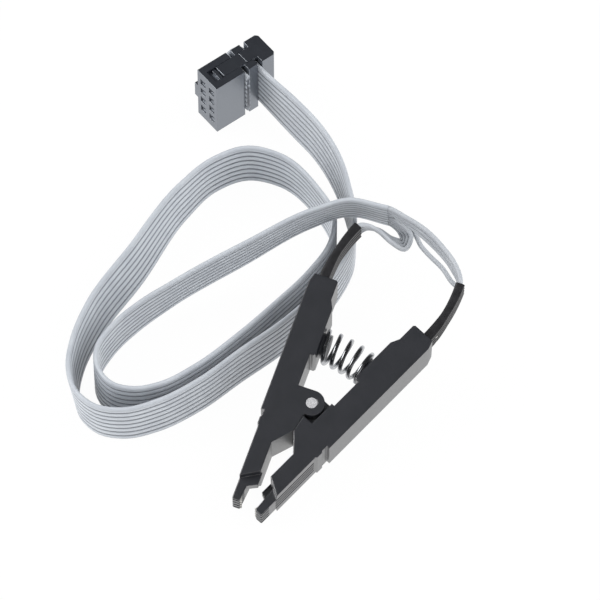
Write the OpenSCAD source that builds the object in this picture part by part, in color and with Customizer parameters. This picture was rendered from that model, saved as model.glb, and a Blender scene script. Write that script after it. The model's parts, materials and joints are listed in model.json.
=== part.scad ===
// Test clip for an 8-pin small-outline chip, with its ribbon lead and 2 x 4 socket.
// Two equal jaws, one turned over, share a hinge pin. A coil spring between the handles closes the nose.
// The clip lies nose down on the table, and its handle end is propped on its own ribbon.

/* [Jaw] */
// From the hinge axis to the end of the handle
handle_length = 22.9; // [20.5:0.1:30]
// From the hinge axis to the end of the nose body, along its outer face
nose_length = 16.6; // [15.6:0.1:22]
// Slim tip beyond the nose body
tip_length = 3.9; // [3:0.1:6]
// From the hinge axis to the outer face of the handle
outer_offset = 8; // [7.6:0.1:10]
// Thickness of the handle in front of the spring
handle_thickness = 4.75; // [4.5:0.05:5]
// Height of the pad that carries the spring
pad_height = 0.9; // [0.4:0.1:1.4]
// Where the spring pad starts and ends, from the hinge axis
pad_start = 8.4; // [7:0.1:8.6]
pad_end = 17.6; // [17:0.1:18.4]
// Slope that ends the pad towards the handle end
pad_slope = 1.6; // [0.8:0.1:2]
// Chamfer on the outer corner of the handle end
handle_chamfer = 1.6; // [0.4:0.1:2.5]
// Thickness of the nose body
nose_thickness = 3.25; // [2.9:0.05:3.6]
// Step down from the handle's outer face to the nose's
nose_step = 0.6; // [0.3:0.05:0.8]
// Step from each side of the jaw to the slim tip
tip_side_step = 1.75; // [1:0.05:2.5]
// Thickness of the tip at its root and at its end
tip_root = 1.85; // [1.6:0.05:2.4]
tip_end = 1.4; // [1.2:0.05:1.6]
// Opening angle of each jaw from the clip's centre line, nose closed
half_angle = 12; // [10:0.5:13]

/* [Hinge] */
// Diameter of the hinge pin
pin_d = 2.05; // [1.6:0.05:2.6]
// Radial running clearance of the turning jaw on the pin
pin_clearance = 0.05; // [0.03:0.01:0.1]
// Wall of a knuckle round the pin
knuckle_wall = 1.3; // [1:0.05:1.4]
// Gap between neighbouring knuckles
knuckle_gap = 0.12; // [0.06:0.02:0.3]
// Gap between a knuckle and the pocket that it turns in
pocket_gap = 0.35; // [0.2:0.05:0.5]
// Where the two jaws meet in front of the hinge, from and to
meet_back = 2.7; // [2.7:0.1:3]
meet_front = 5.9; // [5:0.1:6.4]
// Gap left between the meeting faces
meet_gap = 0.05; // [0.02:0.01:0.1]

/* [Spring] */
// Distance of the spring from the hinge axis
spring_x = 12; // [11.6:0.1:13.5]
// Outer diameter of the spring
spring_od = 6.5; // [5.8:0.1:6.8]
// Wire of the spring
spring_wire = 0.62; // [0.5:0.02:0.75]
// Turns of the spring
spring_turns = 4.5; // [3.5:0.5:6.5]
// Play between the spring and the stud inside it
stud_play = 0.35; // [0.2:0.05:0.8]
// Height of the stud on each spring pad
stud_height = 1.4; // [0.8:0.1:1.8]

/* [Contacts] */
// Spacing of the contacts
contact_pitch = 1.27; // [1.27:0.01:1.32]
// Width of a contact
contact_w = 0.42; // [0.3:0.02:0.48]
// Thickness of a contact
contact_t = 0.3; // [0.2:0.02:0.36]
// Side play of a contact in its slot
slot_play = 0.08; // [0.04:0.01:0.1]
// Play of a contact in its channel
channel_play = 0.02; // [0.01:0.01:0.05]
// Tail of a contact beyond the handle
tail_length = 2.2; // [1.5:0.1:3]
// Distance of the inner row of tails from the handle's outer face
tail_inner = 2.7; // [2.5:0.05:2.9]
// Distance between the two staggered rows of tails
tail_stagger = 1.3; // [1.2:0.05:1.4]
// Depth of the open slots down the outside of the nose
slot_depth = 0.62; // [0.5:0.02:0.8]
// Plastic wall outside the last slot of the tip
tip_wall = 0.26; // [0.2:0.02:0.5]

/* [Sleeves] */
// Outer diameter of a sleeve
sleeve_od = 1.6; // [1.3:0.05:1.65]
// Bore of a sleeve
sleeve_bore = 0.8; // [0.7:0.02:0.9]
// Length of a sleeve along its bend
sleeve_length = 12.1; // [9:0.1:14]
// Bend of a sleeve from its root to its mouth
sleeve_bend = 28; // [15:1:32]

/* [Ribbon] */
// Conductors in the ribbon
ways = 8; // [8]
// Thickness of the ribbon over a conductor
ribbon_t = 0.9; // [0.7:0.05:0.95]
// Diameter of a single wire split from the ribbon
wire_d = 0.88; // [0.84:0.02:1]

/* [Connector] */
// Spacing of the connector's contacts
socket_pitch = 2.54; // [2.54:0.01:2.6]
// Height of the connector, along a row of four contacts
socket_height = 12.7; // [12.4:0.1:14]
// Thickness of the connector, across its two rows
socket_thickness = 5.7; // [5.4:0.1:6.4]
// Depth of the body that holds the contacts
body_depth = 6.5; // [6.2:0.1:8]
// Depth of the cover that presses the ribbon on the contacts
cover_depth = 2.1; // [1.8:0.1:3]
// Depth of the strain relief behind the ribbon
relief_depth = 3.1; // [2.4:0.1:4]
// Side of a contact hole
hole_side = 0.9; // [0.7:0.05:1.1]
// Width of the latch legs on the ends
latch_w = 2.7; // [2:0.1:3.2]
// Thickness of the latch legs
latch_t = 0.8; // [0.6:0.05:1]
// Width, height and reach of the polarising key
key_w = 3.4; // [2.4:0.1:4]
key_t = 0.9; // [0.6:0.05:1.2]
key_length = 5.6; // [4:0.1:6]
// Play between parts of the connector
socket_play = 0.04; // [0.02:0.01:0.08]

/* [Placing] */
// Tilt of the clip, nose down
tilt = 15.5; // [14:0.5:16]
// Direction of the clip's centre line on the table
heading = 58.5; // [50:0.5:65]
// Where the hinge stands over the table
hinge_x = -6.73; // [-8:0.01:-5]
hinge_y = -6.77; // [-8:0.01:-5]
// Where the middle of the connector's mating face stands
socket_x = -25.7; // [-27:0.1:-25]
socket_y = 63.4; // [63:0.1:65]
// Direction that the connector's mating face looks away from
socket_heading = 38; // [38]

/* [Hidden] */

eps = 0.01;
$fn = 48;
jaw_black = [0.17, 0.17, 0.19];
steel = [0.72, 0.73, 0.75];
brass = [0.80, 0.66, 0.36];
sleeve_black = [0.10, 0.10, 0.11];
ribbon_grey = [0.72, 0.73, 0.75];

// Jaw: x runs along the arm to the handle end, y outwards, z along the hinge axis.
slot_w = contact_w + 2 * slot_play;
tip_w = 3 * contact_pitch + slot_w + 2 * tip_wall;
jaw_w = tip_w + 2 * tip_side_step;
level = jaw_w / 4;
inner_y = outer_offset - handle_thickness;
pad_y = inner_y - pad_height;
nose_outer = outer_offset - nose_step;
nose_inner = nose_outer - nose_thickness;
nose_bevel = 1.9;
groove_len = 1.3;
rib_len = 1.4;
rib_h = 0.25;
knuckle_r = pin_d / 2 + knuckle_wall;
pocket_y = knuckle_r + pocket_gap;
tip_x = -(nose_length + tip_length);
tip_root_y = nose_outer - tip_root;
tip_end_y = nose_outer - tip_end;
tail_y = [outer_offset - tail_inner, outer_offset - tail_inner + tail_stagger];

function meet_y(x) = x * tan(half_angle) + meet_gap;
function contact_z(i) = (i - 1.5) * contact_pitch;
function tail_row(i) = tail_y[i % 2];

// A turn about the z axis and the tilt of the clip, for points.
function turned(a, p) = [p.x * cos(a) - p.y * sin(a), p.x * sin(a) + p.y * cos(a), p.z];
function tilted(p) = [
    hinge_x + p.x,
    hinge_y + p.y * cos(tilt) - p.z * sin(tilt),
    hinge_z + p.y * sin(tilt) + p.z * cos(tilt)];
function left_point(p) = tilted(turned(heading + half_angle, p));
function right_point(p) = tilted(turned(heading - half_angle, [p.x, -p.y, -p.z]));

// The lower nose corner of the right jaw stands on the table.
nose_corner = turned(heading - half_angle, [-nose_length, -nose_outer, -jaw_w / 2]);
hinge_z = -(nose_corner.y * sin(tilt) + nose_corner.z * cos(tilt));

module clip_frame() {
    translate([hinge_x, hinge_y, hinge_z]) rotate([tilt, 0, 0]) rotate([0, 0, heading]) children();
}

module left_side() {
    clip_frame() rotate([0, 0, half_angle]) children();
}

module right_side() {
    clip_frame() rotate([0, 0, -half_angle]) rotate([180, 0, 0]) children();
}

module slab(bottom, top) {
    translate([0, 0, bottom]) linear_extrude(height = top - bottom) children();
}

// Both jaws -------------------------------------------------------------

module jaw_outline() {
    polygon([
        [-meet_back, meet_y(meet_back)],
        [-meet_back, pocket_y],
        [knuckle_r, pocket_y],
        [knuckle_r, inner_y],
        [pad_start, inner_y],
        [pad_start, pad_y + 0.3],
        [pad_start + 0.3, pad_y],
        [pad_end, pad_y],
        [pad_end + pad_slope, inner_y - 0.15],
        [handle_length - 0.3, inner_y - 0.15],
        [handle_length, inner_y + 0.15],
        [handle_length, outer_offset - handle_chamfer / 3],
        [handle_length - handle_chamfer, outer_offset],
        [-meet_back - 1.2, outer_offset],
        [-meet_back - 1.2, nose_outer],
        [-meet_back - 1.2 - groove_len, nose_outer],
        [-meet_back - 1.35 - groove_len, nose_outer + rib_h],
        [-meet_back - 1.2 - groove_len - rib_len, nose_outer + rib_h],
        [-meet_back - 1.35 - groove_len - rib_len, nose_outer],
        [-nose_length, nose_outer],
        [-nose_length + nose_bevel, nose_inner],
        [-meet_front - (nose_inner - meet_y(meet_front)) / tan(42), nose_inner],
        [-meet_front, meet_y(meet_front)]]);
}

module knuckle_outline() {
    circle(r = knuckle_r);
    polygon([
        [-meet_back - 0.3, meet_y(meet_back + 0.3)],
        [-meet_back - 0.3, pocket_y + 0.3],
        [knuckle_r, pocket_y + 0.3],
        [knuckle_r, 0],
        [0, 0]]);
}

module knuckles() {
    slab(level + knuckle_gap / 2, 2 * level) knuckle_outline();
    slab(-level + knuckle_gap / 2, -knuckle_gap / 2) knuckle_outline();
}

module tip() {
    slab(-tip_w / 2, tip_w / 2)
        polygon([
            [-nose_length + 1.2, tip_root_y],
            [tip_x + 0.15, tip_end_y],
            [tip_x, tip_end_y + 0.15],
            [tip_x, nose_outer - 0.15],
            [tip_x + 0.15, nose_outer],
            [-nose_length + 0.1, nose_outer],
            [-nose_length + 1.2, nose_outer - 0.1]]);
    // stop for the top of the chip
    slab(tip_w / 2 - 1.8, tip_w / 2)
        polygon([
            [-nose_length + nose_bevel + 0.3, nose_inner - 0.2],
            [-nose_length - 0.1, nose_inner - 0.2],
            [-nose_length - 1, tip_root_y + 0.2],
            [-nose_length + nose_bevel, tip_root_y + 0.2]]);
}

module spring_stud() {
    translate([spring_x, pad_y + eps, 0]) rotate([90, 0, 0])
        cylinder(r = spring_od / 2 - spring_wire - stud_play, h = stud_height + eps);
}

slot_floor = nose_outer - slot_depth;

// The line that a contact follows, from its tail to the nose tip.
function contact_line(row) = [
    [handle_length + tail_length, row],
    [-4.6, row],
    [-7.2, slot_floor + contact_t / 2],
    [-nose_length - 0.3, slot_floor + contact_t / 2],
    [tip_x + 1.3, tip_end_y + contact_t / 2],
    [tip_x + 0.1, tip_end_y - contact_t / 2]];

function unit(v) = v / norm(v);
function normal(v) = [-v.y, v.x];
// Offset of a line's corner, mitred.
function mitre(pts, i) =
    let (a = i > 0 ? normal(unit(pts[i] - pts[i - 1])) : normal(unit(pts[1] - pts[0])),
         b = i < len(pts) - 1 ? normal(unit(pts[i + 1] - pts[i])) : a,
         m = unit(a + b))
    m / (m * a);

module strip(pts, t) {
    polygon(concat(
        [for (i = [0 : len(pts) - 1]) pts[i] + mitre(pts, i) * t / 2],
        [for (i = [len(pts) - 1 : -1 : 0]) pts[i] - mitre(pts, i) * t / 2]));
}

module contact(i) {
    color(brass)
        translate([0, 0, contact_z(i)]) slab(-contact_w / 2, contact_w / 2)
            strip(contact_line(tail_row(i)), contact_t);
}

module contact_channel(i) {
    half = contact_w / 2 + channel_play;
    translate([0, 0, contact_z(i)]) {
        slab(-half, half) strip(contact_line(tail_row(i)), contact_t + 2 * channel_play);
        // open slot down the outside of the nose
        translate([-nose_length - 0.3, slot_floor, -slot_w / 2])
            cube([nose_length - 6.9, nose_outer, slot_w]);
        // comb at the tip
        translate([tip_x - 1, nose_inner, -slot_w / 2]) cube([3, nose_outer, slot_w]);
    }
}

module jaw(bore) {
    difference() {
        union() {
            slab(-jaw_w / 2, jaw_w / 2) jaw_outline();
            knuckles();
            tip();
            spring_stud();
        }
        translate([0, 0, -jaw_w]) cylinder(d = bore, h = 2 * jaw_w);
        for (i = [0 : 3]) contact_channel(i);
    }
}

module left_jaw() {
    color(jaw_black) left_side() jaw(pin_d);
}

module right_jaw() {
    color(jaw_black) right_side() jaw(pin_d + 2 * pin_clearance);
}

module hinge_pin() {
    chamfer = 0.12;
    color(steel) clip_frame() rotate_extrude()
        polygon([
            [0, -jaw_w / 2], [pin_d / 2 - chamfer, -jaw_w / 2], [pin_d / 2, -jaw_w / 2 + chamfer],
            [pin_d / 2, jaw_w / 2 - chamfer], [pin_d / 2 - chamfer, jaw_w / 2],
            [0.4, jaw_w / 2], [0.25, jaw_w / 2 - 0.3], [0, jaw_w / 2 - 0.3]]);
}

// Spring ------------------------------------------------------------------

// The seats lie at half_angle each side, so the spring's own line is an arc about their crossing.
arc_x = -pad_y / sin(half_angle);
arc_r = spring_x + pad_y / tan(half_angle);
coil_r = (spring_od - spring_wire) / 2;
seat_turn = (spring_wire / 2 + 0.06) / arc_r * 180 / PI;
seat_turn_in = seat_turn * arc_r / (arc_r - coil_r);
ring_step = 1 / 16;

function coil_point(turn) =
    let (share = turn / spring_turns,
         a = (half_angle - seat_turn) * (1 - share) - (half_angle - seat_turn_in) * share,
         r = arc_r + coil_r * cos(360 * turn))
    [arc_x + r * cos(a), r * sin(a), coil_r * sin(360 * turn)];

// A tube swept along points: one ring of sides at each point, square to the line.
// The ends may be given a direction of their own, so that they lie flat on what they meet.
function ahead(pts, i, first = undef, end = undef) =
    i == 0 && !is_undef(first) ? first :
    i == len(pts) - 1 && !is_undef(end) ? end :
    unit(pts[min(i + 1, len(pts) - 1)] - pts[max(i - 1, 0)]);
function ring(c, t, up, r, sides) =
    let (u = unit(up - (up * t) * t), v = cross(t, u))
    [for (k = [0 : sides - 1]) c + r * (cos(360 * k / sides) * u + sin(360 * k / sides) * v)];
function ring_faces(n, sides) = concat(
    [[for (k = [0 : sides - 1]) k]],
    [for (i = [0 : n - 2]) for (k = [0 : sides - 1])
        let (a = i * sides + k, b = i * sides + (k + 1) % sides)
        each [[a, a + sides, b + sides], [a, b + sides, b]]],
    [[for (k = [sides - 1 : -1 : 0]) (n - 1) * sides + k]]);

module tube(pts, r, ups, first = undef, end = undef, sides = 8) {
    points = [for (i = [0 : len(pts) - 1]) each ring(pts[i], ahead(pts, i, first, end), ups[i], r, sides)];
    polyhedron(points, ring_faces(len(pts), sides), convexity = 6);
}

module spring() {
    pts = [for (t = [0 : ring_step : spring_turns]) coil_point(t)];
    ups = [for (t = [0 : ring_step : spring_turns]) [cos(360 * t), 0, sin(360 * t)]];
    color(steel) clip_frame() tube(pts, spring_wire / 2, ups);
}

// Sleeves -----------------------------------------------------------------

sleeve_radius = sleeve_length / (sleeve_bend * PI / 180);

module sleeve(i) {
    color(sleeve_black) translate([handle_length, tail_row(i) - sleeve_radius, contact_z(i)])
        rotate([0, 0, 90 - sleeve_bend]) rotate_extrude(angle = sleeve_bend) translate([sleeve_radius, 0])
            difference() {
                circle(d = sleeve_od);
                circle(d = sleeve_bore);
            }
}

// Mouth of a sleeve and the way that it looks, in the jaw's own frame.
function mouth(i) = [
    handle_length + sleeve_radius * sin(sleeve_bend),
    tail_row(i) - sleeve_radius * (1 - cos(sleeve_bend)),
    contact_z(i)];
mouth_way = [cos(sleeve_bend), -sin(sleeve_bend), 0];

// Ribbon ------------------------------------------------------------------

ribbon_w = ways * contact_pitch;
exit_z = socket_height / 2;
slot_in = body_depth + ribbon_t / 2 + socket_play;
slot_out = body_depth + cover_depth + 1.5 * ribbon_t + 3 * socket_play;
function on_socket(p) = [socket_x, socket_y, 0] + turned(socket_heading, p);
ribbon_exit = on_socket([slot_out, -socket_thickness / 2, exit_z]);

// Middle of the ribbon on its way over the table, from the socket to where its wires part.
// The fourth number is how far the upper edge leans to the left of the way.
route = [
    concat(ribbon_exit, 0), [-9.5, 59.9, 5.6, 0.9], [-5.7, 55.2, 5.2, 0.9], [-2.1, 48.2, 5.1, 0.9],
    [-0.1, 41.2, 5.1, 0.5], [1.0, 34.2, 5.1, 0.2], [0.5, 29.2, 5.1, 0], [-1.5, 24.2, 5.1, 0],
    [-11.3, 12.1, 5.1, 0], [-19.3, 5.3, 5.1, 0], [-26.6, -1.0, 5.1, 0.1], [-33.7, -5.3, 5.1, 0.3],
    [-39.7, -7.0, 5.1, 0.6], [-44.3, -6.2, 5.1, 0.9], [-47.7, -2.9, 5.1, 1.2], [-48.9, 2.2, 5.1, 1.5],
    [-48.3, 7.2, 5.1, 1.7], [-45.5, 15.2, 5.1, 2.2], [-38.3, 27.2, 5.1, 2.4], [-29.7, 41.8, 5.1, 1.1],
    [-24.5, 47.4, 5.1, 0.3], [-18.2, 50.1, 5.1, 0], [-12.3, 48.5, 5.1, -0.2], [-5.4, 41.0, 5.1, -0.3],
    [-2.6, 34.7, 5.1, 0], [-3.4, 28.7, 5.1, 0], [-6.9, 22.8, 5.1, 0], [-13.1, 15.6, 5.1, 0],
    [-19.7, 8.7, 5.1, 0], [-27.0, 2.1, 5.1, 0], [-33.3, -1.8, 5.1, 0], [-37.7, -2.8, 5.1, 0],
    [-41.7, -1.8, 5.1, 0], [-44.3, 1.6, 5.1, 0], [-44.6, 5.9, 5.1, 0], [-42.1, 10.7, 5.3, -0.4],
    [-37.3, 15.6, 5.9, -1.0], [-31.7, 19.2, 7.3, -1.7], [-18.7, 25.3, 11.3, -2.2], [-6.2, 30.6, 15.0, -3.0],
    [-0.2, 32.4, 15.5, -3.4], [7.0, 30.8, 15.2, -3.2]];
way = [for (p = route) [p.x, p.y, p.z]];
last = len(route) - 1;
exit_way = turned(socket_heading, [0, -1, 0]);
function ribbon_ahead(i) = ahead(way, i, exit_way);

function flat_left(t) = unit([-t.y, t.x, 0]);
// Direction across the ribbon, from its lower to its upper edge.
function across(i) =
    let (t = ribbon_ahead(i), s = route[i][3] / ribbon_w, w = [0, 0, sqrt(1 - s * s)] + s * flat_left(t))
    unit(w - (w * t) * t);
function ribbon_ring(i) =
    let (w = across(i), n = cross(w, ribbon_ahead(i)),
         h = ribbon_w / 2, k = ribbon_t / 2, c = ribbon_t / 4)
    [for (q = [[-h, -k + c], [-h, k - c], [-h + c, k], [h - c, k], [h, k - c], [h, -k + c], [h - c, -k], [-h + c, -k]])
        way[i] + q[0] * w + q[1] * n];

module ribbon() {
    color(ribbon_grey)
        polyhedron([for (i = [0 : last]) each ribbon_ring(i)], ring_faces(last + 1, 8), convexity = 10);
}

// The end of the ribbon inside the socket: in over the contacts, round the cover and out again.
module fold_outline(t) {
    far = socket_thickness / 2 + 0.2;
    near = -socket_thickness / 2;
    mid = (slot_in + slot_out) / 2;
    r = (slot_out - slot_in) / 2;
    for (x = [slot_in, slot_out]) translate([x - t / 2, near]) square([t, far - near]);
    translate([mid, far]) intersection() {
        difference() {
            circle(r = r + t / 2);
            circle(r = r - t / 2);
        }
        translate([-2 * r, 0]) square([4 * r, 2 * r]);
    }
}

module ribbon_fold() {
    gap = 0.12;
    color(ribbon_grey) translate([socket_x, socket_y, 0]) rotate([0, 0, socket_heading]) {
        for (i = [0 : ways - 1])
            slab(exit_z + (i - ways / 2) * contact_pitch + gap / 2, exit_z + (i + 1 - ways / 2) * contact_pitch - gap / 2)
                fold_outline(ribbon_t);
        slab(exit_z - ribbon_w / 2 + gap, exit_z + ribbon_w / 2 - gap) fold_outline(ribbon_t * 0.4);
    }
}

// Wires: the lower four turn back to the left jaw, and the upper four go on to the right one.
// Points on the way of each group's middle, and how far the wires spread there.
left_way = [[9.6, 28.8, 13.4], [10.0, 26.6, 13.9], [8.2, 25.4, 14.5], [5.4, 26.6, 15.9]];
right_way = [[11.2, 28.2, 17.4], [15.0, 23.6, 16.6], [18.2, 18.6, 15.6]];
spread_dir = unit([0, -0.3, 0.95]);
slack = [0, 0.8, 0.8];
function wire_start(k) = way[last] + (k - (ways - 1) / 2) * contact_pitch * across(last);
function left_wire_way(i) = concat(
    [wire_start(i)],
    [for (p = left_way) p + (i - 1.5) * contact_pitch * spread_dir],
    [left_point(mouth(i))]);
// The right jaw is turned over, so its first contact has the top wire. The lowest wire hangs slack.
function right_wire_way(i) = concat(
    [wire_start(ways - 1 - i)],
    [for (k = [0 : 2]) right_way[k] + ((1.5 - i) * contact_pitch - (i == 3 ? slack[k] : 0)) * spread_dir],
    [right_point(mouth(i))]);

module wire(pts, end) {
    color(ribbon_grey) tube(pts, wire_d / 2, [for (p = pts) spread_dir], ribbon_ahead(last), end);
}

module left_wire(i) {
    wire(left_wire_way(i), left_point(mouth(i)) - left_point(mouth(i) + mouth_way));
}

module right_wire(i) {
    wire(right_wire_way(i), right_point(mouth(i)) - right_point(mouth(i) + mouth_way));
}

// Socket ------------------------------------------------------------------
// x runs from the mating face to the back, y across the rows, z up along a row.

module socket_frame() {
    translate([socket_x, socket_y, 0]) rotate([0, 0, socket_heading]) children();
}

module both_ends() {
    children();
    translate([0, 0, socket_height]) mirror([0, 0, 1]) children();
}

module block(x0, x1, wide, z0, z1) {
    translate([x0, -wide / 2, z0]) cube([x1 - x0, wide, z1 - z0]);
}

module hole_grid() {
    for (row = [-0.5, 0.5], j = [0 : 3])
        translate([0, row * socket_pitch, socket_height / 2 + (j - 1.5) * socket_pitch]) children();
}

cavity = 1.5;
cavity_start = 1.2;
hook_room = 3;

module socket_body() {
    color(jaw_black) socket_frame() {
        difference() {
            block(0, body_depth, socket_thickness, 0, socket_height);
            hole_grid() {
                translate([-eps, 0, 0]) block(0, 0.35, hole_side + 0.6, -hole_side / 2 - 0.3, hole_side / 2 + 0.3);
                block(-eps, body_depth + 1, hole_side, -hole_side / 2, hole_side / 2);
                block(cavity_start, body_depth + 1, cavity, -cavity / 2, cavity / 2);
            }
            both_ends() block(1, body_depth + 1, latch_w + 2 * socket_play, -1, latch_t);
        }
        // tooth that holds each latch leg
        both_ends() block(2.1, 2.7, latch_w, 0.3, latch_t + eps);
        // polarising key
        translate([0, socket_thickness / 2 - eps, socket_height / 2 - key_w / 2])
            cube([key_length, key_t + eps, key_w]);
    }
}

module socket_contacts() {
    leaf = 0.25;
    color(brass) socket_frame() hole_grid() {
        for (s = [-1, 1]) translate([0, s * (cavity / 2 - leaf / 2 - socket_play), 0])
            block(cavity_start + 0.3, body_depth, leaf, -0.5, 0.5);
        block(body_depth - 0.9, body_depth - 0.5, cavity - 2 * socket_play - eps, -0.5, 0.5);
    }
}

cover_x = slot_in + ribbon_t / 2 + socket_play;
cover_end = slot_out - ribbon_t / 2 - socket_play;
relief_x = slot_out + ribbon_t / 2 + socket_play;
relief_end = relief_x + relief_depth;

module socket_cover() {
    color(jaw_black) socket_frame() difference() {
        union() {
            block(cover_x, cover_end, socket_thickness, 0, socket_height);
            both_ends() block(hook_room, cover_x + eps, latch_w, 0, latch_t - socket_play);
        }
        both_ends() block(cover_x + 0.7, cover_end + 1, latch_w + 2 * socket_play, -1, latch_t);
    }
}

module strain_relief() {
    bevel = 0.5;
    color(jaw_black) socket_frame() {
        slab(0, socket_height)
            polygon([
                [relief_x, -socket_thickness / 2], [relief_end - bevel, -socket_thickness / 2],
                [relief_end, bevel - socket_thickness / 2], [relief_end, socket_thickness / 2 - bevel],
                [relief_end - bevel, socket_thickness / 2], [relief_x, socket_thickness / 2]]);
        both_ends() block(cover_x + 0.7 + socket_play, relief_x + eps, latch_w, 0, latch_t - socket_play);
    }
}

left_jaw();
right_jaw();
hinge_pin();
spring();
left_side() contact(0);  // left_contact_1
left_side() contact(1);  // left_contact_2
left_side() contact(2);  // left_contact_3
left_side() contact(3);  // left_contact_4
right_side() contact(0);  // right_contact_1
right_side() contact(1);  // right_contact_2
right_side() contact(2);  // right_contact_3
right_side() contact(3);  // right_contact_4
left_side() sleeve(0);  // left_sleeve_1
left_side() sleeve(1);  // left_sleeve_2
left_side() sleeve(2);  // left_sleeve_3
left_side() sleeve(3);  // left_sleeve_4
right_side() sleeve(0);  // right_sleeve_1
right_side() sleeve(1);  // right_sleeve_2
right_side() sleeve(2);  // right_sleeve_3
right_side() sleeve(3);  // right_sleeve_4
left_wire(0);  // left_wire_1
left_wire(1);  // left_wire_2
left_wire(2);  // left_wire_3
left_wire(3);  // left_wire_4
right_wire(0);  // right_wire_1
right_wire(1);  // right_wire_2
right_wire(2);  // right_wire_3
right_wire(3);  // right_wire_4
ribbon();
ribbon_fold();
socket_body();
socket_contacts();
socket_cover();
strain_relief();
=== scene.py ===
import json
import math

import bmesh
import bpy
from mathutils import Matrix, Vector


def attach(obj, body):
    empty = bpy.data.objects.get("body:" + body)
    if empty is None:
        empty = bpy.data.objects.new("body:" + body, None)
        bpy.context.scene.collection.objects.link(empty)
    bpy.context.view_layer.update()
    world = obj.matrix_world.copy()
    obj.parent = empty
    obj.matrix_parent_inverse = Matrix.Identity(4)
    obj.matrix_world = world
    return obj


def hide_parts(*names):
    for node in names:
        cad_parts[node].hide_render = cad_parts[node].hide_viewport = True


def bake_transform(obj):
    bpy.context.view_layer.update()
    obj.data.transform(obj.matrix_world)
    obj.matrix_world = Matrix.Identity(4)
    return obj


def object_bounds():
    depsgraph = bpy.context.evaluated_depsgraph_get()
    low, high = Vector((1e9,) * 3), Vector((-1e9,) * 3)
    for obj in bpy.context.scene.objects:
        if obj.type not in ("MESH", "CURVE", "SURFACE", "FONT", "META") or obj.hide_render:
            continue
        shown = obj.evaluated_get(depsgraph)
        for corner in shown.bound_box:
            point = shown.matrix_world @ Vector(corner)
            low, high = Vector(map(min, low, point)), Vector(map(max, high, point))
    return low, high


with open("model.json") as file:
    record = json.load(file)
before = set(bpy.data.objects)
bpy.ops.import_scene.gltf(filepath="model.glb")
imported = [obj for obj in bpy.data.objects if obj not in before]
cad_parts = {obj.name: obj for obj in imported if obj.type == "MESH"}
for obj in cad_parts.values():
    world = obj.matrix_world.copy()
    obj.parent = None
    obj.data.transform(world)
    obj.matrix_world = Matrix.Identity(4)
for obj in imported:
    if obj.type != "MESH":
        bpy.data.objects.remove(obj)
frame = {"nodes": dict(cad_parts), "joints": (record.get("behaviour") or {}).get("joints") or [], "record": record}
cadLow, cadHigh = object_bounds()
mm = 0.001
fixedBody, turningBody = "left jaw", "right jaw"


cameraSetup = {
    "elevation": 54.5,  # degrees above the table
    "target": (-0.00874, 0.0196, 0.005),
    "span": 0.1071,  # width of the picture at the target
    "lens": 320,
    "sensor": 36,
}


def addCamera(setup):
    angle = math.radians(setup["elevation"])
    back = Vector((0, -math.cos(angle), math.sin(angle)))
    data = bpy.data.cameras.new("camera")
    data.lens = setup["lens"]
    data.sensor_width = setup["sensor"]
    camera = bpy.data.objects.new("camera", data)
    distance = setup["span"] * setup["lens"] / data.sensor_width
    camera.location = Vector(setup["target"]) + back * distance
    camera.rotation_euler = (math.pi / 2 - angle, 0, 0)
    data.clip_start, data.clip_end = distance * 0.1, distance * 10
    bpy.context.scene.collection.objects.link(camera)
    bpy.context.scene.camera = camera


addCamera(cameraSetup)


def screenColour(red, green, blue):
    # from 0-255 screen values to the linear values that Blender takes
    def linear(v):
        v /= 255
        return v / 12.92 if v <= 0.04045 else ((v + 0.055) / 1.055) ** 2.4
    return (linear(red), linear(green), linear(blue), 1)


def addNode(tree, kind, **settings):
    node = tree.nodes.new(kind)
    for name, value in settings.items():
        if name[0].isupper():
            node.inputs[name.replace("_", " ")].default_value = value
        else:
            setattr(node, name, value)
    return node


def mixColours(tree, factor, first, second, blend="MIX"):
    # first and second are colours or sockets
    mix = addNode(tree, "ShaderNodeMix", data_type="RGBA", blend_type=blend)
    tree.links.new(factor, mix.inputs["Factor"])
    for socket, value in zip((mix.inputs[6], mix.inputs[7]), (first, second)):
        if isinstance(value, bpy.types.NodeSocket):
            tree.links.new(value, socket)
        else:
            socket.default_value = value
    return mix.outputs[2]


def spread(tree, value, low, high, fromLow=0.0, fromHigh=1.0):
    node = addNode(tree, "ShaderNodeMapRange", clamp=True)
    for name, number in (("From Min", fromLow), ("From Max", fromHigh), ("To Min", low), ("To Max", high)):
        node.inputs[name].default_value = number
    tree.links.new(value, node.inputs["Value"])
    return node.outputs["Result"]


def noiseOf(tree, coordinate, size, detail):
    mapping = addNode(tree, "ShaderNodeMapping")
    mapping.inputs["Scale"].default_value = [1 / size] * 3
    tree.links.new(coordinate, mapping.inputs["Vector"])
    noise = addNode(tree, "ShaderNodeTexNoise", Scale=1.0, Detail=detail)
    tree.links.new(mapping.outputs["Vector"], noise.inputs["Vector"])
    return noise.outputs["Fac"]


surfaceLook = {
    "patchDetail": 2.0,
    "grainDetail": 4.0,
    "noiseRange": (0.3, 0.7),  # the part of the noise that carries the change from one value to the other
    # the part of the occlusion that carries the painted crease shade
    "creaseShadeRange": (0.25, 0.75),
    "grainDepth": 0.25,  # share of the grain's size
    "samples": 6,
}


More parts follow.
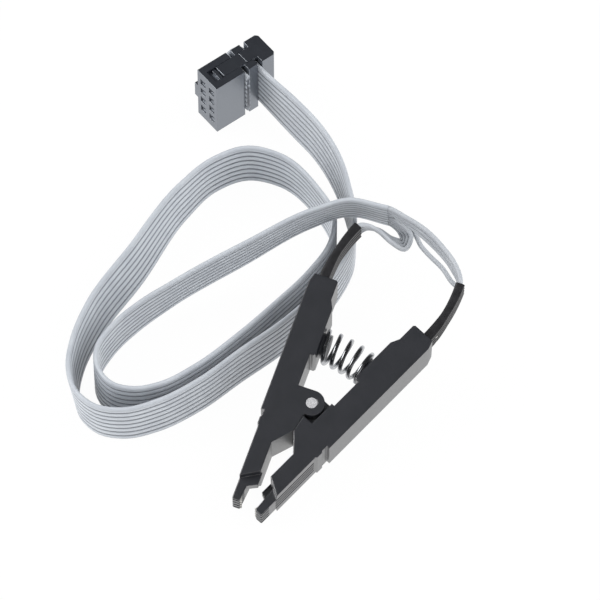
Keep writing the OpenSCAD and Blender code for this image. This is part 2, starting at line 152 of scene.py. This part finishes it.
def makeMaterial(name, look):
    material = bpy.data.materials.new(name)
    material.use_nodes = True
    tree = material.node_tree
    shader = tree.nodes["Principled BSDF"]
    where = addNode(tree, "ShaderNodeTexCoord").outputs["Object"]
    patches = noiseOf(tree, where, look["patch"], surfaceLook["patchDetail"])
    patchShare = spread(tree, patches, 0, 1, *surfaceLook["noiseRange"])
    colour = mixColours(tree, patchShare, look["colour"], look["tone"])
    grain = noiseOf(tree, where, look["grain"], surfaceLook["grainDetail"])
    # painted shade: the base colour turns darker in the grooves between the ribbon's conductors, where shade falls
    if "grooveShade" in look:
        crest = addNode(tree, "ShaderNodeAttribute", attribute_name="crest").outputs["Fac"]
        grooveShadeShare = spread(tree, crest, 1, 0, 0.0, look["grooveShadeWidth"])
        colour = mixColours(tree, grooveShadeShare, colour, look["grooveShade"])
    # painted shade: ambient occlusion darkens the base colour in the creases between wires and wherever other
    # parts lie near
    if "creaseShade" in look:
        near = addNode(
            tree, "ShaderNodeAmbientOcclusion", samples=surfaceLook["samples"], Distance=look["creaseShadeReach"])
        creaseShadeShare = spread(tree, near.outputs["AO"], 1, 0, *surfaceLook["creaseShadeRange"])
        colour = mixColours(tree, creaseShadeShare, colour, look["creaseShade"])
    tree.links.new(colour, shader.inputs["Base Color"])
    roughness = spread(tree, grain, *look["roughness"], *surfaceLook["noiseRange"])
    tree.links.new(roughness, shader.inputs["Roughness"])
    shader.inputs["Metallic"].default_value = look.get("metallic", 0.0)
    shader.inputs["IOR"].default_value = look.get("ior", 1.5)
    shader.inputs["Specular IOR Level"].default_value = look.get("specular", 0.5)
    shader.inputs["Specular Tint"].default_value = look.get("shineTint", (1, 1, 1, 1))
    depth = look["grain"] * surfaceLook["grainDepth"]
    bump = addNode(tree, "ShaderNodeBump", Strength=look["bump"], Distance=depth)
    tree.links.new(grain, bump.inputs["Height"])
    if "edge" in look:
        rounded = addNode(tree, "ShaderNodeBevel", samples=surfaceLook["samples"], Radius=look["edge"])
        tree.links.new(rounded.outputs["Normal"], bump.inputs["Normal"])
    tree.links.new(bump.outputs["Normal"], shader.inputs["Normal"])
    return material


finishes = {
    "jawPlastic": {
        "colour": screenColour(28, 31, 39), "tone": screenColour(34, 36, 44),
        "patch": 3 * mm, "grain": 0.22 * mm, "bump": 0.4, "roughness": (0.28, 0.4),
        "ior": 2.15, "specular": 1.0, "edge": 0.32 * mm,
    },
    "socketPlastic": {
        "colour": screenColour(30, 33, 40), "tone": screenColour(36, 39, 46),
        "patch": 2.5 * mm, "grain": 0.1 * mm, "bump": 0.2, "roughness": (0.28, 0.4),
        "ior": 2.3, "specular": 1.0, "edge": 0.16 * mm, "shineTint": screenColour(240, 246, 255),
    },
    "shrinkSleeve": {
        "colour": screenColour(30, 30, 32), "tone": screenColour(40, 40, 43),
        "patch": 1.2 * mm, "grain": 0.1 * mm, "bump": 0.35, "roughness": (0.35, 0.5), "ior": 1.6,
    },
    "ribbonVinyl": {
        "colour": screenColour(198, 203, 209), "tone": screenColour(188, 193, 200),
        # the groove shade is painted shade, a darker colour laid into the grooves between conductors
        "grooveShade": screenColour(92, 96, 104), "grooveShadeWidth": 0.5,
        "patch": 4 * mm, "grain": 0.15 * mm, "bump": 0.15, "roughness": (0.3, 0.42), "ior": 1.54,
    },
    "wireVinyl": {
        "colour": screenColour(178, 182, 187), "tone": screenColour(168, 172, 178),
        # the crease shade is painted shade, a darker colour laid where wires and other parts lie close
        "creaseShade": screenColour(96, 100, 106), "creaseShadeReach": 0.6 * mm,
        "patch": 3 * mm, "grain": 0.15 * mm, "bump": 0.15, "roughness": (0.3, 0.42), "ior": 1.54,
    },
    "springSteel": {
        "colour": screenColour(196, 197, 200), "tone": screenColour(170, 172, 176),
        "patch": 0.8 * mm, "grain": 0.08 * mm, "bump": 0.15, "roughness": (0.14, 0.3), "metallic": 1.0,
    },
    "pinSteel": {
        "colour": screenColour(196, 196, 198), "tone": screenColour(176, 176, 179),
        "patch": 0.5 * mm, "grain": 0.06 * mm, "bump": 0.3, "roughness": (0.3, 0.5), "metallic": 0.2,
    },
    "contactPlate": {
        "colour": screenColour(214, 213, 209), "tone": screenColour(186, 184, 179),
        "patch": 0.6 * mm, "grain": 0.05 * mm, "bump": 0.2, "roughness": (0.3, 0.45), "metallic": 0.25,
    },
}
materials = {name: makeMaterial(name, look) for name, look in finishes.items()}
print("materials made:", len(materials))


def smoothLine(points, step, first=None, last=None):
    # a curve through every point, with a place about every step
    pts = [Vector(p) for p in points]
    chord = [(b.xyz - a.xyz).length for a, b in zip(pts, pts[1:])]
    slope = [(pts[1] - pts[0]) / chord[0]]
    for i in range(1, len(pts) - 1):
        a, b = chord[i - 1], chord[i]
        slope.append(((pts[i] - pts[i - 1]) / a * b + (pts[i + 1] - pts[i]) / b * a) / (a + b))
    slope.append((pts[-1] - pts[-2]) / chord[-1])
    if first is not None:
        slope[0] = Vector(first)
    if last is not None:
        slope[-1] = Vector(last)
    line = []
    for i, length in enumerate(chord):
        steps = max(2, round(length / step))
        for k in range(steps):
            t = k / steps
            line.append(
                (2 * t ** 3 - 3 * t ** 2 + 1) * pts[i] + (t ** 3 - 2 * t ** 2 + t) * length * slope[i]
                + (3 * t ** 2 - 2 * t ** 3) * pts[i + 1] + (t ** 3 - t ** 2) * length * slope[i + 1])
    return line + [pts[-1]]


def directions(line, first=None, last=None):
    ways = []
    for i in range(len(line)):
        ways.append((line[min(i + 1, len(line) - 1)].xyz - line[max(i - 1, 0)].xyz).normalized())
    if first is not None:
        ways[0] = Vector(first).normalized()
    if last is not None:
        ways[-1] = Vector(last).normalized()
    return ways


def addMesh(name, vertices, faces, material, sharp):
    mesh = bpy.data.meshes.new(name)
    mesh.from_pydata(vertices, [], faces)
    mesh.validate()
    mesh.update()
    mesh.shade_smooth()
    mesh.set_sharp_from_angle(angle=math.radians(sharp))
    mesh.materials.append(materials[material])
    piece = bpy.data.objects.new(name, mesh)
    bpy.context.scene.collection.objects.link(piece)
    return piece


def skin(name, rings, material, sharp):
    # joins rings of equal size into a closed sleeve, with a face over each end
    size = len(rings[0])
    vertices = [p for ring in rings for p in ring]
    faces = []
    for i in range(len(rings) - 1):
        for k in range(size):
            a, b = i * size + k, i * size + (k + 1) % size
            faces.append((a, b, b + size, a + size))
    faces.append(tuple(reversed(range(size))))
    faces.append(tuple(range(len(vertices) - size, len(vertices))))
    return addMesh(name, vertices, faces, material, sharp)


def tubeRings(line, ways, radii, sides):
    # rings that don't twist along the line
    up = ways[0].orthogonal().normalized()
    rings = []
    for point, way, radius in zip(line, ways, radii):
        up = (up - up.dot(way) * way).normalized()
        side = way.cross(up)
        ring = []
        for k in range(sides):
            turn = 2 * math.pi * k / sides
            ring.append(point.xyz + radius * (math.cos(turn) * up + math.sin(turn) * side))
        rings.append(ring)
    return rings


bevelLook = {
    "jawEdge": 0.12 * mm,
    "socketEdge": 0.1 * mm,
    "fromAngle": 25,  # degrees between two faces
    "segments": 2,
    "flatWithin": 1,
    "sharpFrom": 40,
    "weldBefore": 0.002 * mm,
    "weldAfter": 0.001 * mm,
}


def bevelledCopy(node, material, width, name):
    # the node's own shape with its edges broken as far as the faces beside them leave room
    look = bevelLook
    source = frame["nodes"][node]
    mesh = source.data.copy()
    mesh.name = name
    shape = bmesh.new()
    shape.from_mesh(mesh)
    bmesh.ops.remove_doubles(shape, verts=shape.verts, dist=look["weldBefore"])
    bmesh.ops.dissolve_limit(
        shape, angle_limit=math.radians(look["flatWithin"]), delimit=set(),
        verts=shape.verts, edges=shape.edges)
    least = math.radians(look["fromAngle"])
    edges = [e for e in shape.edges if len(e.link_faces) == 2 and e.calc_face_angle(0) > least]
    bmesh.ops.bevel(
        shape, geom=edges, offset=width, offset_type="OFFSET", segments=look["segments"], profile=0.5,
        affect="EDGES", clamp_overlap=True, harden_normals=False)
    bmesh.ops.remove_doubles(shape, verts=shape.verts, dist=look["weldAfter"])
    shape.to_mesh(mesh)
    shape.free()
    mesh.materials.clear()
    mesh.materials.append(materials[material])
    mesh.shade_smooth()
    mesh.set_sharp_from_angle(angle=math.radians(look["sharpFrom"]))
    piece = bpy.data.objects.new(name, mesh)
    piece.matrix_world = source.matrix_world
    bpy.context.scene.collection.objects.link(piece)
    weighted = piece.modifiers.new("weighted normals", "WEIGHTED_NORMAL")
    weighted.keep_sharp = True
    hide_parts(node)
    return piece


def place(piece, body, slot, *nodes):
    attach(piece, body)
    if nodes:
        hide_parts(*nodes)
    return piece


mounts = {m["name"]: m for m in frame["record"]["mounts"]}
hinge = next(j for j in frame["joints"] if j["name"] == "jaw_hinge")
hingePoint, hingeAxis = Vector(hinge["pos_m"]), Vector(hinge["axis"]).normalized()
towardHandles = -Vector(mounts["chip_grip"]["axis"]).normalized()
clipLeft = hingeAxis.cross(towardHandles)
halfAngle = 12  # degrees from the clip's middle to each jaw at rest


def clipPoint(along, left, up):
    return hingePoint + along * towardHandles + left * clipLeft + up * hingeAxis


def clipWay(along, left, up):
    return along * towardHandles + left * clipLeft + up * hingeAxis


def jawPlace(side, x, y, z, make=clipPoint):
    # x, y, z in a jaw's own frame: along the arm, outward and across; the right jaw is turned over
    turn = math.radians(halfAngle if side == "left" else -halfAngle)
    if side == "right":
        y, z = -y, -z
    return make(x * math.cos(turn) - y * math.sin(turn), x * math.sin(turn) + y * math.cos(turn), z)


socketPoint = Vector(mounts["header_socket"]["pos_m"])
socketBack = -Vector(mounts["header_socket"]["axis"]).normalized()
socketLeft = Vector((0, 0, 1)).cross(socketBack)


def socketPlace(x, y, z=0.0):
    return socketPoint + x * socketBack + y * socketLeft + Vector((0, 0, z))


ribbonLook = {
    "ways": 8,
    "pitch": 1.27 * mm,
    "thickness": 0.9 * mm,  # over a conductor
    "web": 0.4 * mm,  # between two conductors
    "step": 1.1 * mm,
    "perWay": 10,
    "lobeShare": 0.995,  # under 1 the lobes meet before their sides stand upright
    "edgeCrest": 0.4,  # painted shade on the ribbon's two outer edges: 1 is as light as a conductor's crest, 0 as dark as the painted shade in a groove
    "exitDepth": 10.07 * mm,  # behind the socket's mating face
    "foldDepth": 6.99 * mm,
    "socketThickness": 5.7 * mm,
    "endProud": 0.35 * mm,
    "foldBulge": 0.75 * mm,  # how far the bend stands out past the socket's far side
    "foldInset": 0.1 * mm,  # from the far side to where the bend starts
    "flatSteps": 6,
    "bendSteps": 16,
}
# middle of the ribbon from the socket to where its wires part, and how far its upper edge leans left
ribbonRoute = [
    (-0.0095, 0.0599, 0.0056, 0.0009), (-0.0057, 0.0552, 0.0052, 0.0009), (-0.0021, 0.0482, 0.0051, 0.0009),
    (-0.0001, 0.0412, 0.0051, 0.0005), (0.0010, 0.0342, 0.0051, 0.0002), (0.0005, 0.0292, 0.0051, 0),
    (-0.0015, 0.0242, 0.0051, 0), (-0.0113, 0.0121, 0.0051, 0), (-0.0193, 0.0053, 0.0051, 0),
    (-0.0266, -0.001, 0.0051, 0.0001), (-0.0337, -0.0053, 0.0051, 0.0003), (-0.0397, -0.0070, 0.0051, 0.0006),
    (-0.0443, -0.0062, 0.0051, 0.0009), (-0.0477, -0.0029, 0.0051, 0.0012), (-0.0489, 0.0022, 0.0051, 0.0015),
    (-0.0483, 0.0072, 0.0051, 0.0017), (-0.0455, 0.0152, 0.0051, 0.0022), (-0.0383, 0.0272, 0.0051, 0.0024),
    (-0.0297, 0.0418, 0.0051, 0.0011), (-0.0245, 0.0474, 0.0051, 0.0003), (-0.0182, 0.0501, 0.0051, 0),
    (-0.0123, 0.0485, 0.0051, -0.0002), (-0.0054, 0.0410, 0.0051, -0.0003), (-0.0026, 0.0347, 0.0051, 0),
    (-0.0034, 0.0287, 0.0051, 0), (-0.0069, 0.0228, 0.0051, 0), (-0.0131, 0.0156, 0.0051, 0),
    (-0.0197, 0.0087, 0.0051, 0), (-0.0270, 0.0021, 0.0051, 0), (-0.0333, -0.0018, 0.0051, 0),
    (-0.0377, -0.0028, 0.0051, 0), (-0.0417, -0.0018, 0.0051, 0), (-0.0443, 0.0016, 0.0051, 0),
    (-0.0446, 0.0059, 0.0051, 0), (-0.0421, 0.0107, 0.0053, -0.0004), (-0.0373, 0.0156, 0.0059, -0.0010),
    (-0.0317, 0.0192, 0.0073, -0.0017), (-0.0187, 0.0253, 0.0113, -0.0022), (-0.0062, 0.0306, 0.015, -0.0030),
    (-0.0002, 0.0324, 0.0155, -0.0034), (0.0070, 0.0308, 0.0152, -0.0032)]


def ribbonSection(look):
    # (across, out, crest) round the ribbon's section, with one round lobe for each conductor; the crest is 1 on
    # top of a conductor and falls to 0 in a groove, and it sets how much painted shade darkens the ribbon there
    half, web = look["thickness"] / 2, look["web"] / 2
    count = look["ways"] * look["perWay"]
    front = []
    for j in range(count + 1):
        across = (j / look["perWay"] - look["ways"] / 2) * look["pitch"]
        fromMiddle = abs((j % look["perWay"]) / look["perWay"] * 2 - 1)
        outer = j <= look["perWay"] / 2 or j >= count - look["perWay"] / 2
        lobe = math.sqrt(max(0.0, 1 - (fromMiddle * look["lobeShare"]) ** 2))
        out = half * lobe if outer else web + (half - web) * lobe
        front.append((across, out, look["edgeCrest"] if outer else 1 - fromMiddle))
    return front + [(across, -out, crest) for across, out, crest in reversed(front)]


def ribbonSkin(name, line, ways, acrosses, look):
    section = ribbonSection(look)
    rings, crests = [], []
    for point, way, across in zip(line, ways, acrosses):
        across = (across - across.dot(way) * way).normalized()
        out = across.cross(way)
        rings.append([point.xyz + a * across + o * out for a, o, _ in section])
        crests += [c for _, _, c in section]
    piece = skin(name, rings, "ribbonVinyl", sharp=50)
    # the crest values are the mask for the painted groove shade
    values = piece.data.attributes.new("crest", "FLOAT", "POINT")
    values.data.foreach_set("value", crests)
    return piece


def leanedAcross(point, way, width):
    lean = point[3] / width
    left = Vector((-way.y, way.x, 0)).normalized()
    return Vector((0, 0, math.sqrt(1 - lean * lean))) + lean * left


def makeRibbon(look):
    width = look["ways"] * look["pitch"]
    start = socketPlace(look["exitDepth"], -look["socketThickness"] / 2)
    route = [(*start, 0)] + ribbonRoute
    exitWay = -socketLeft
    line = smoothLine(route, look["step"], first=(*exitWay, 0))
    ways = directions(line, first=exitWay)
    acrosses = [leanedAcross(p, w, width) for p, w in zip(line, ways)]
    piece = place(ribbonSkin("ribbon_lead", line, ways, acrosses, look), fixedBody, "ribbon_vinyl", "ribbon")
    endAcross = (acrosses[-1] - acrosses[-1].dot(ways[-1]) * ways[-1]).normalized()
    return piece, line, ways[-1], endAcross


def makeFold(look):
    near = -look["socketThickness"] / 2
    far = look["socketThickness"] / 2 - look["foldInset"]
    inner, outer = look["foldDepth"], look["exitDepth"]
    middle, radius = (inner + outer) / 2, (outer - inner) / 2
    flat, bend, proud = look["flatSteps"], look["bendSteps"], look["endProud"]
    line = [socketPlace(inner, near - proud + (far - near + proud) * k / flat) for k in range(flat + 1)]
    for k in range(1, bend):
        turn = math.pi * (1 - k / bend)
        line.append(socketPlace(middle + radius * math.cos(turn), far + look["foldBulge"] * math.sin(turn)))
    line += [socketPlace(outer, far + (near - far) * k / flat) for k in range(flat + 1)]
    ways = directions(line)
    piece = ribbonSkin("ribbon_end_fold", line, ways, [Vector((0, 0, 1))] * len(line), look)
    return place(piece, fixedBody, "ribbon_vinyl", "ribbon_fold")


ribbon, ribbonLine, ribbonEndWay, ribbonEndAcross = makeRibbon(ribbonLook)
fold = makeFold(ribbonLook)


sleeveLook = {
    "handleLength": 22.9 * mm,
    "row": 5.9 * mm,  # from the middle of the jaw's inner plane to the tails
    "length": 12.1 * mm,
    "bend": {"left": 23, "right": 25},
    "halfWidth": (0.93 * mm, 0.74 * mm, 0.84 * mm),  # at the jaw, at the waist and at the open end
    "halfHeight": 0.6 * mm,
    "waist": (0.45, 0.55),  # where it starts and ends, as shares of the length
    "flatter": 0.06,  # share of the height lost half way along
    "wall": 0.15 * mm,
    "squareness": 3.2,  # 2 is an ellipse, and more is squarer
    "sides": 36,
    "steps": 26,
    "innerSteps": 2,  # how far the open end's inside reaches in
}
wireLook = {
    "radius": 0.44 * mm,
    "sides": 20,
    "step": 0.5 * mm,
    "intoRibbon": 0.8 * mm,
    "intoSleeve": 1.5 * mm,
    "perJaw": 4,
}
rowMiddle = (wireLook["perJaw"] - 1) / 2
# the way of the four left wires: a place in the middle of their row, the degrees that the row leans from
# upright, and the heading that it leans toward, in degrees from the x axis
leftWay = [
    ((0.0088, 0.0301, 0.0130), 25, -70),
    ((0.0102, 0.0278, 0.0132), 40, -50),
    ((0.0095, 0.0253, 0.0138), 60, -80),
    ((0.0074, 0.0258, 0.0147), 45, -95),
    ((0.0054, 0.0269, 0.0158), 40, -90),
    ((0.0033, 0.0271, 0.0168), 30, -90),
]
# the same for the three upper right wires, and the places of the lowest one, which hangs apart from them
rightWay = [
    ((0.0096, 0.0281, 0.0179), 20, -65),
    ((0.0135, 0.0249, 0.0176), 20, -40),
    ((0.0163, 0.0219, 0.0169), 25, -50),
    ((0.0184, 0.0189, 0.0162), 25, -60),
]
slackWay = [
    (0.0093, 0.0303, 0.0155), (0.0110, 0.0288, 0.0146), (0.0120, 0.0271, 0.0138), (0.0127, 0.0255, 0.0135),
    (0.0141, 0.0235, 0.0134), (0.0166, 0.0205, 0.0132), (0.0180, 0.0181, 0.0129),
]


def sleeveLine(side, index):
    # places along a sleeve, with the ways along it and sideways
    look = sleeveLook
    count = look["steps"]
    bend = math.radians(look["bend"][side])
    radius = look["length"] / bend
    z = (index - rowMiddle) * ribbonLook["pitch"]
    line, ways, sideways = [], [], []
    for k in range(count + 1):
        turn = bend * k / count
        x = look["handleLength"] + radius * math.sin(turn)
        y = look["row"] - radius * (1 - math.cos(turn))
        line.append(jawPlace(side, x, y, z))
        ways.append(jawPlace(side, math.cos(turn), -math.sin(turn), 0, clipWay))
        sideways.append(jawPlace(side, math.sin(turn), math.cos(turn), 0, clipWay))
    return line, ways, sideways


def besideMiddle(place, lean, heading, count):
    # a place so many wires up from the middle of the row
    lean, heading = math.radians(lean), math.radians(heading)
    step = Vector((math.sin(lean) * math.cos(heading), math.sin(lean) * math.sin(heading), math.cos(lean)))
    return Vector(place) + count * ribbonLook["pitch"] * step


def makeWire(side, index):
    look = wireLook
    last = ribbonLook["ways"] - 1
    fromEdge = index if side == "left" else last - index
    start = ribbonLine[-1].xyz + (fromEdge - last / 2) * ribbonLook["pitch"] * ribbonEndAcross
    places = [start - look["intoRibbon"] * ribbonEndWay, start]
    if side == "left":
        places += [besideMiddle(*entry, index - rowMiddle) for entry in leftWay]
    elif index < look["perJaw"] - 1:
        places += [besideMiddle(*entry, 1 - index) for entry in rightWay]
    else:
        places += [Vector(p) for p in slackWay]
    sleeve, sleeveWays, _ = sleeveLine(side, index)
    mouth, inward = sleeve[-1], -sleeveWays[-1]
    places += [mouth, mouth + look["intoSleeve"] * inward]
    line = smoothLine(places, look["step"], first=ribbonEndWay, last=inward)
    ways = directions(line, first=ribbonEndWay, last=inward)
    rings = tubeRings(line, ways, [look["radius"]] * len(line), look["sides"])
    piece = skin(f"{side}_lead_{index + 1}", rings, "wireVinyl", sharp=60)
    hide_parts(f"{side}_wire_{index + 1}")
    if side == "left":
        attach(piece, fixedBody)
    else:
        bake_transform(piece)
    return piece


wires = [makeWire(side, index) for side in ("left", "right") for index in range(wireLook["perJaw"])]
print("ribbon and wires made")


def ovalRing(point, side, up, halfWidth, halfHeight):
    ring = []
    sides, power = sleeveLook["sides"], 2 / sleeveLook["squareness"]
    for k in range(sides):
        turn = 2 * math.pi * k / sides
        c, s = math.cos(turn), math.sin(turn)
        a = math.copysign(abs(c) ** power, c) * halfWidth
        b = math.copysign(abs(s) ** power, s) * halfHeight
        ring.append(point + a * side + b * up)
    return ring


def makeSleeve(side, index):
    look = sleeveLook
    line, ways, sideways = sleeveLine(side, index)
    jawEnd, waist, mouthEnd = look["halfWidth"]
    waistStart, waistEnd = look["waist"]
    wall = look["wall"]
    outer, inner = [], []
    for k in range(look["steps"] + 1):
        t = k / look["steps"]
        width = jawEnd + (waist - jawEnd) * min(1, t / waistStart) ** 2
        width += (mouthEnd - waist) * max(0, (t - waistEnd) / (1 - waistEnd))
        height = look["halfHeight"] * (1 - look["flatter"] * math.sin(math.pi * t))
        up = ways[k].cross(sideways[k])
        outer.append(ovalRing(line[k], sideways[k], up, width, height))
        inner.append(ovalRing(line[k], sideways[k], up, width - wall, height - wall))
    rings = outer + [inner[-1], inner[-1 - look["innerSteps"]]]
    body = fixedBody if side == "left" else turningBody
    piece = skin(f"{side}_shrink_{index + 1}", rings, "shrinkSleeve", sharp=50)
    return place(piece, body, "sleeve_rubber", f"{side}_sleeve_{index + 1}")


for side in ("left", "right"):
    for index in range(wireLook["perJaw"]):
        makeSleeve(side, index)

springLook = {
    "distance": 12 * mm,  # from the hinge
    "padHeight": 2.35 * mm,
    "outer": 6.5 * mm,
    "wire": 0.78 * mm,
    "turns": 4.5,
    "perTurn": 40,
    "sides": 16,
    "gap": 0.06 * mm,
}


def makeSpring(look):
    half = math.radians(halfAngle)
    centre = -look["padHeight"] / math.sin(half)
    arc = look["distance"] + look["padHeight"] / math.tan(half)
    coil = (look["outer"] - look["wire"]) / 2
    startTurn = half - (look["wire"] / 2 + look["gap"]) / arc
    endTurn = -half + (look["wire"] / 2 + look["gap"]) / (arc - coil)
    line = []
    for k in range(round(look["turns"] * look["perTurn"]) + 1):
        turn = 2 * math.pi * k / look["perTurn"]
        share = k / (look["turns"] * look["perTurn"])
        a = startTurn * (1 - share) + endTurn * share
        r = arc + coil * math.cos(turn)
        line.append(clipPoint(centre + r * math.cos(a), r * math.sin(a), coil * math.sin(turn)))
    rings = tubeRings(line, directions(line), [look["wire"] / 2] * len(line), look["sides"])
    piece = skin("return_spring", rings, "springSteel", sharp=60)
    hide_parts("spring")
    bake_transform(piece)
    return piece


makeSpring(springLook)
print("spring and sleeves made")


place(bevelledCopy("left_jaw", "jawPlastic", bevelLook["jawEdge"], "left_arm"), fixedBody, "jaw_plastic")
place(bevelledCopy("right_jaw", "jawPlastic", bevelLook["jawEdge"], "right_arm"), turningBody, "jaw_plastic")

pinLook = {
    "half": 4.2 * mm,
    "sides": 48,
    "tip": 0.002 * mm,  # the smallest ring, so that the end has a middle
    # radius and depth below the end face in mm, from the middle out
    "face": [
        (0.0, 0.06), (0.18, 0.06), (0.26, 0.0), (0.5, 0.0), (0.56, 0.05),
        (0.66, 0.05), (0.72, 0.0), (0.9, 0.0), (0.98, 0.03), (1.025, 0.12),
    ],
}


def makePin(look):
    profile = [(r * mm, look["half"] - d * mm) for r, d in look["face"]]
    profile += [(r, -z) for r, z in reversed(profile)]
    rings = []
    for r, z in profile:
        radius = max(r, look["tip"])
        ring = []
        for k in range(look["sides"]):
            turn = -2 * math.pi * k / look["sides"]
            ring.append(clipPoint(radius * math.cos(turn), radius * math.sin(turn), z))
        rings.append(ring)
    return place(skin("pivot_pin", rings, "pinSteel", sharp=30), fixedBody, "pin_steel", "hinge_pin")


makePin(pinLook)


socketNames = {
    "socket_body": "socket_shell",
    "socket_cover": "socket_clamp",
    "strain_relief": "socket_relief",
}
for node, name in socketNames.items():
    place(bevelledCopy(node, "socketPlastic", bevelLook["socketEdge"], name), fixedBody, "socket_plastic")

nodeFinish = {"contact": "contactPlate", "socket_contacts": "contactPlate"}
for name, node in frame["nodes"].items():
    finish = next((f for key, f in nodeFinish.items() if key in name), None)
    if finish:
        node.data.materials.clear()
        node.data.materials.append(materials[finish])

cordPieces = wires + [fold] + [frame["nodes"]["socket_contacts"]]
cordPieces += [bpy.data.objects[name] for name in socketNames.values()]
centreLine = [p.xyz for p in reversed(ribbonLine)]
ribbonLength = sum((b - a).length for a, b in zip(centreLine, centreLine[1:]))
print("ribbon length", round(ribbonLength, 4))


stageLook = {
    "size": 3.0,
    "below": 0.00002,
    "white": 0.97,  # share of pure white where the camera and the reflections see it
    "colour": (0.9, 0.9, 0.9, 1),
    "roughness": 0.6,
    "specular": 0.2,
}


def makeFloor(look):
    half = look["size"] / 2
    mesh = bpy.data.meshes.new("table_top")
    corners = [(-half, -half, 0), (half, -half, 0), (half, half, 0), (-half, half, 0)]
    mesh.from_pydata(corners, [], [(0, 1, 2, 3)])
    floor = bpy.data.objects.new("table_top", mesh)
    floor.location.z = -look["below"]
    bpy.context.scene.collection.objects.link(floor)
    material = bpy.data.materials.new("tableWhite")
    material.use_nodes = True
    tree = material.node_tree
    shader = tree.nodes["Principled BSDF"]
    shader.inputs["Base Color"].default_value = look["colour"]
    shader.inputs["Roughness"].default_value = look["roughness"]
    shader.inputs["Specular IOR Level"].default_value = look["specular"]
    glow = addNode(tree, "ShaderNodeEmission", Color=(1, 1, 1, 1), Strength=1.0)
    path = addNode(tree, "ShaderNodeLightPath")
    seen = path.outputs["Is Camera Ray"]
    for ray in ("Is Glossy Ray", "Is Transmission Ray"):
        either = addNode(tree, "ShaderNodeMath", operation="MAXIMUM")
        tree.links.new(seen, either.inputs[0])
        tree.links.new(path.outputs[ray], either.inputs[1])
        seen = either.outputs[0]
    share = addNode(tree, "ShaderNodeMath", operation="MULTIPLY")
    share.inputs[1].default_value = look["white"]
    tree.links.new(seen, share.inputs[0])
    mix = addNode(tree, "ShaderNodeMixShader")
    tree.links.new(share.outputs[0], mix.inputs["Fac"])
    tree.links.new(shader.outputs[0], mix.inputs[1])
    tree.links.new(glow.outputs[0], mix.inputs[2])
    tree.links.new(mix.outputs[0], tree.nodes["Material Output"].inputs["Surface"])
    mesh.materials.append(material)


makeFloor(stageLook)

lights = {
    "overhead": {"place": (0.05, -0.05, 0.75), "size": 0.7, "power": 2.0, "shine": False},
    "fromLeft": {"place": (-0.6, 0.05, 0.4), "size": 0.5, "power": 2.9, "shine": True},
    "fromRight": {"place": (0.6, 0.1, 0.4), "size": 0.5, "power": 3.2, "shine": False},
    "fromFront": {"place": (0.0, -0.75, 0.35), "size": 0.5, "power": 1.6, "shine": False},
}


def addLights(lamps):
    centre = (cadLow + cadHigh) / 2
    for name, look in lamps.items():
        data = bpy.data.lights.new(name, "AREA")
        data.size = look["size"]
        data.energy = look["power"]
        lamp = bpy.data.objects.new(name, data)
        lamp.location = look["place"]
        lamp.visible_glossy = look["shine"]
        lamp.rotation_euler = (Vector(centre) - lamp.location).to_track_quat("-Z", "Y").to_euler()
        bpy.context.scene.collection.objects.link(lamp)


skyLook = {"seen": 1.0, "shade": 0.5, "mirrored": 0.05}


def makeWorld(look):
    # one level where the camera sees it, one for soft light and one in reflections
    world = bpy.data.worlds.new("studio")
    bpy.context.scene.world = world
    world.use_nodes = True
    tree = world.node_tree
    background = tree.nodes["Background"]
    background.inputs["Color"].default_value = (1, 1, 1, 1)
    path = addNode(tree, "ShaderNodeLightPath")
    glossy = addNode(tree, "ShaderNodeMath", operation="MULTIPLY_ADD")
    glossy.inputs[1].default_value = look["mirrored"] - look["shade"]
    glossy.inputs[2].default_value = look["shade"]
    tree.links.new(path.outputs["Is Glossy Ray"], glossy.inputs[0])
    seen = addNode(tree, "ShaderNodeMath", operation="MULTIPLY_ADD")
    seen.inputs[1].default_value = look["seen"] - look["shade"]
    tree.links.new(path.outputs["Is Camera Ray"], seen.inputs[0])
    tree.links.new(glossy.outputs[0], seen.inputs[2])
    tree.links.new(seen.outputs[0], background.inputs["Strength"])


addLights(lights)
makeWorld(skyLook)
bpy.context.scene.view_settings.view_transform = "Standard"
print("table and lights made")
